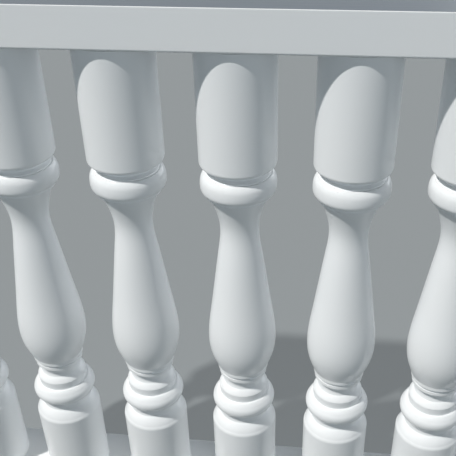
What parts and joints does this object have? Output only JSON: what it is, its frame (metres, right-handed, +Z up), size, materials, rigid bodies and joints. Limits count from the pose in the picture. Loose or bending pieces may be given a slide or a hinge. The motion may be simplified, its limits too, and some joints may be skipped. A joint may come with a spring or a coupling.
{
  "type": "metal balcony railing",
  "caption": "White metal balcony railing: turned balusters between a box handrail with a grey top strip and a box foot rail, to be anchored on a coping.",
  "frame": {"origin": "on the underside of the foot rail, below the middle baluster", "axes": "+X along the rails, +Y away from the terrace towards the garden, +Z up"},
  "size_m": [1.224, 0.134, 1],
  "materials": {
    "white_coat": "gloss powder coat",
    "grey_coat": "satin powder coat",
    "plug_plastic": "satin",
    "mill_aluminium": "mill"
  },
  "bodies": {
    "root": {"baluster_1": "white_coat", "head_plug_1": "plug_plastic", "foot_plug_1": "plug_plastic", "baluster_2": "white_coat", "head_plug_2": "plug_plastic", "foot_plug_2": "plug_plastic", "baluster_3": "white_coat", "head_plug_3": "plug_plastic", "foot_plug_3": "plug_plastic", "baluster_4": "white_coat", "head_plug_4": "plug_plastic", "foot_plug_4": "plug_plastic", "baluster_5": "white_coat", "head_plug_5": "plug_plastic", "foot_plug_5": "plug_plastic", "baluster_6": "white_coat", "head_plug_6": "plug_plastic", "foot_plug_6": "plug_plastic", "baluster_7": "white_coat", "head_plug_7": "plug_plastic", "foot_plug_7": "plug_plastic", "handrail_cover": "white_coat", "foot_rail_cover": "white_coat", "handrail_cap_left": "white_coat", "handrail_cap_right": "white_coat", "foot_rail_cap_left": "white_coat", "foot_rail_cap_right": "white_coat", "handrail_top_strip": "grey_coat", "handrail_base": "mill_aluminium", "foot_rail_base": "mill_aluminium"}
  },
  "joints": []
}
